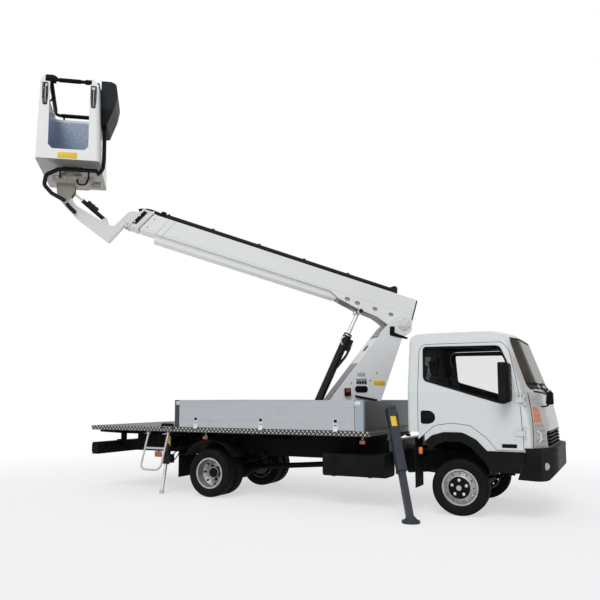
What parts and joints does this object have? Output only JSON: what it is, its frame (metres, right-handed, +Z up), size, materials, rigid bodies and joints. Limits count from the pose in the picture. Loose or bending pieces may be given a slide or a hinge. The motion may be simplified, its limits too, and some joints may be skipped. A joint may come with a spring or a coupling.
{
  "type": "cherry picker truck",
  "caption": "Light cab-over truck with a drop-board bed, outriggers and a slewing telescopic boom that carries a one-person work basket on a bent arm.",
  "frame": {"origin": "middle of the underside of the whole machine's bounding box, on the ground", "axes": "+X forward out of the cab, +Y to the driver's left, +Z up"},
  "size_m": [6.5862, 4.4443, 5.5695],
  "materials": {
    "tyre": "worn black tread rubber",
    "rim": "silver wheel paint",
    "running_gear": "black chassis paint over castings",
    "chassis": "satin black chassis paint",
    "sub_frame": "dark grey paint",
    "floor": "chequer plate",
    "boards": "anodised drop boards",
    "white": "gloss white paint",
    "basket": "white moulded shell",
    "glass": "tinted glass",
    "lamp": "clear and amber lens",
    "plastic": "grained black plastic",
    "legs": "slate grey paint",
    "cylinder": "black cylinder paint",
    "rods": "hard chrome",
    "hose": "hydraulic hose sleeve",
    "console": "dark grey moulded cover"
  },
  "bodies": {
    "chassis": {"chassis_frame": "chassis", "subframe": "sub_frame", "load_floor": "floor", "bed_posts": "boards", "tail_beam": "chassis", "lamps": "lamp", "front_axle": "running_gear", "rear_axle": "running_gear", "engine_and_drive": "chassis", "exhaust": "chassis", "fuel_tank": "chassis", "cab_shell": "white", "cab_glass": "glass", "grille": "plastic", "lower_trim": "plastic", "front_bumper": "plastic", "cab_interior": "plastic", "cab_seats": "plastic", "mudguards": "plastic", "outrigger_frames": "legs"},
    "knuckle_left": {"knuckle_left": "running_gear"},
    "front_wheel_left": {"front_tyre_left": "tyre", "front_rim_left": "rim"},
    "rear_wheels_left": {"rear_tyres_left": "tyre", "rear_rims_left": "rim"},
    "knuckle_right": {"knuckle_right": "running_gear"},
    "front_wheel_right": {"front_tyre_right": "tyre", "front_rim_right": "rim"},
    "rear_wheels_right": {"rear_tyres_right": "tyre", "rear_rims_right": "rim"},
    "door_left": {"door_left": "white", "door_glass_left": "glass", "mirror_left": "plastic"},
    "door_right": {"door_right": "white", "door_glass_right": "glass", "mirror_right": "plastic"},
    "side_board_left": {"side_board_left": "boards"},
    "side_board_right": {"side_board_right": "boards"},
    "rear_board": {"rear_board": "boards"},
    "front_leg_left": {"front_leg_left": "legs"},
    "front_leg_right": {"front_leg_right": "legs"},
    "rear_leg_left": {"rear_leg_left": "legs"},
    "rear_leg_right": {"rear_leg_right": "legs"},
    "ladder": {"ladder": "legs"},
    "column": {"slewing_column": "white"},
    "boom_outer": {"boom_outer": "white", "boom_hose_pipes": "hose"},
    "lift_barrel": {"lift_barrel": "cylinder"},
    "lift_rod": {"lift_rod": "rods"},
    "boom_middle": {"boom_middle": "white"},
    "boom_inner": {"boom_inner": "white", "arm_hose": "hose"},
    "level_barrel": {"level_barrel": "cylinder"},
    "level_rod": {"level_rod": "rods"},
    "basket_carrier": {"basket_carrier": "white", "carrier_hose": "hose"},
    "basket": {"basket_shell": "basket", "basket_rail": "plastic", "basket_console": "console"},
    "entry_bar": {"entry_bar": "plastic"}
  },
  "joints": [
    {"name": "steer_left", "type": "hinge", "parent": "chassis", "child": "knuckle_left", "pos_m": [2.24813, 1.2522, 0.325], "axis": [0, 0, 1], "range_deg": [-35, 35]},
    {"name": "front_spin_left", "type": "hinge", "parent": "knuckle_left", "child": "front_wheel_left", "pos_m": [2.24813, 1.3872, 0.325], "axis": [0, 1, 0], "continuous": true},
    {"name": "rear_spin_left", "type": "hinge", "parent": "chassis", "child": "rear_wheels_left", "pos_m": [-1.15187, 1.3342, 0.325], "axis": [0, 1, 0], "continuous": true},
    {"name": "steer_right", "type": "hinge", "parent": "chassis", "child": "knuckle_right", "pos_m": [2.24813, -0.0278, 0.325], "axis": [0, 0, 1], "range_deg": [-35, 35]},
    {"name": "front_spin_right", "type": "hinge", "parent": "knuckle_right", "child": "front_wheel_right", "pos_m": [2.24813, -0.1628, 0.325], "axis": [0, 1, 0], "continuous": true},
    {"name": "rear_spin_right", "type": "hinge", "parent": "chassis", "child": "rear_wheels_right", "pos_m": [-1.15187, -0.1098, 0.325], "axis": [0, 1, 0], "continuous": true},
    {"name": "door_hinge_left", "type": "hinge", "parent": "chassis", "child": "door_left", "pos_m": [2.98913, 1.5542, 1.33], "axis": [0, 0, -1], "range_deg": [0, 65]},
    {"name": "door_hinge_right", "type": "hinge", "parent": "chassis", "child": "door_right", "pos_m": [2.98913, -0.3298, 1.33], "axis": [0, 0, 1], "range_deg": [0, 65]},
    {"name": "board_drop_left", "type": "hinge", "parent": "chassis", "child": "side_board_left", "pos_m": [-0.30337, 1.6042, 0.941], "axis": [-1, 0, 0], "range_deg": [0, 180]},
    {"name": "board_drop_right", "type": "hinge", "parent": "chassis", "child": "side_board_right", "pos_m": [-0.30337, -0.3798, 0.941], "axis": [1, 0, 0], "range_deg": [0, 180]},
    {"name": "rear_board_drop", "type": "hinge", "parent": "chassis", "child": "rear_board", "pos_m": [-1.69687, 0.6122, 0.957], "axis": [0, -1, 0], "range_deg": [0, 90]},
    {"name": "front_leg_slide_left", "type": "slide", "parent": "chassis", "child": "front_leg_left", "axis": [-0.304, -0.4877, 0.8184], "range_m": [0, 0.4]},
    {"name": "front_leg_slide_right", "type": "slide", "parent": "chassis", "child": "front_leg_right", "axis": [-0.304, 0.4877, 0.8184], "range_m": [0, 0.4]},
    {"name": "rear_leg_slide_left", "type": "slide", "parent": "chassis", "child": "rear_leg_left", "axis": [0, -0.2055, 0.9787], "range_m": [0, 0.3]},
    {"name": "rear_leg_slide_right", "type": "slide", "parent": "chassis", "child": "rear_leg_right", "axis": [0, 0.2055, 0.9787], "range_m": [0, 0.3]},
    {"name": "ladder_fold", "type": "hinge", "parent": "chassis", "child": "ladder", "pos_m": [-2.00287, -0.3258, 0.858], "axis": [-1, 0, 0], "range_deg": [0, 68]},
    {"name": "slew", "type": "hinge", "parent": "chassis", "child": "column", "pos_m": [0.36713, 0.6122, 1.005], "axis": [0, 0, 1], "continuous": true},
    {"name": "boom_lift", "type": "hinge", "parent": "column", "child": "boom_outer", "pos_m": [1.10851, 1.1852, 2.394], "axis": [-0.6115, 0.7912, 0], "range_deg": [-26, 59]},
    {"name": "lift_barrel_swing", "type": "hinge", "parent": "column", "child": "lift_barrel", "pos_m": [0.07438, 0.38593, 1.085], "axis": [-0.6115, 0.7912, 0], "range_deg": [-1.54, 2.87]},
    {"name": "lift_rod_slide", "type": "slide", "parent": "lift_barrel", "child": "lift_rod", "axis": [0.3327, 0.2571, 0.9073], "range_m": [-0.2748, 0.6185]},
    {"name": "boom_extend_middle", "type": "slide", "parent": "boom_outer", "child": "boom_middle", "axis": [-0.761, -0.5881, 0.274], "range_m": [0, 2.6]},
    {"name": "boom_extend_inner", "type": "slide", "parent": "boom_middle", "child": "boom_inner", "axis": [-0.761, -0.5881, 0.274], "range_m": [0, 2.6]},
    {"name": "level_barrel_swing", "type": "hinge", "parent": "boom_inner", "child": "level_barrel", "pos_m": [-2.16532, -1.3451, 3.72861], "axis": [-0.6115, 0.7912, 0], "range_deg": [-3.08, 1.64]},
    {"name": "level_rod_slide", "type": "slide", "parent": "level_barrel", "child": "level_rod", "axis": [-0.606, -0.4684, 0.643], "range_m": [-0.0587, 0.1293]},
    {"name": "basket_level", "type": "hinge", "parent": "boom_inner", "child": "basket_carrier", "pos_m": [-2.58446, -1.66905, 4.00429], "axis": [-0.6115, 0.7912, 0], "range_deg": [-59, 26]},
    {"name": "basket_turn", "type": "hinge", "parent": "basket_carrier", "child": "basket", "pos_m": [-2.52875, -1.62599, 4.37945], "axis": [0, 0, 1], "range_deg": [-75, 75]},
    {"name": "entry_bar_lift", "type": "hinge", "parent": "basket", "child": "entry_bar", "pos_m": [-2.4873, -2.12604, 5.44245], "axis": [0.6115, -0.7912, 0], "range_deg": [0, 80]}
  ],
  "couplings": [
    {"joint": "steer_right", "follows": "steer_left", "ratio": 1},
    {"joint": "lift_barrel_swing", "follows": "boom_lift", "ratio": 0.04019},
    {"joint": "lift_rod_slide", "follows": "boom_lift", "m_per_rad": 0.59678},
    {"joint": "level_barrel_swing", "follows": "boom_lift", "ratio": -0.04375},
    {"joint": "level_rod_slide", "follows": "boom_lift", "m_per_rad": 0.12268},
    {"joint": "basket_level", "follows": "boom_lift", "ratio": -1},
    {"joint": "boom_extend_inner", "follows": "boom_extend_middle", "ratio": 1}
  ]
}
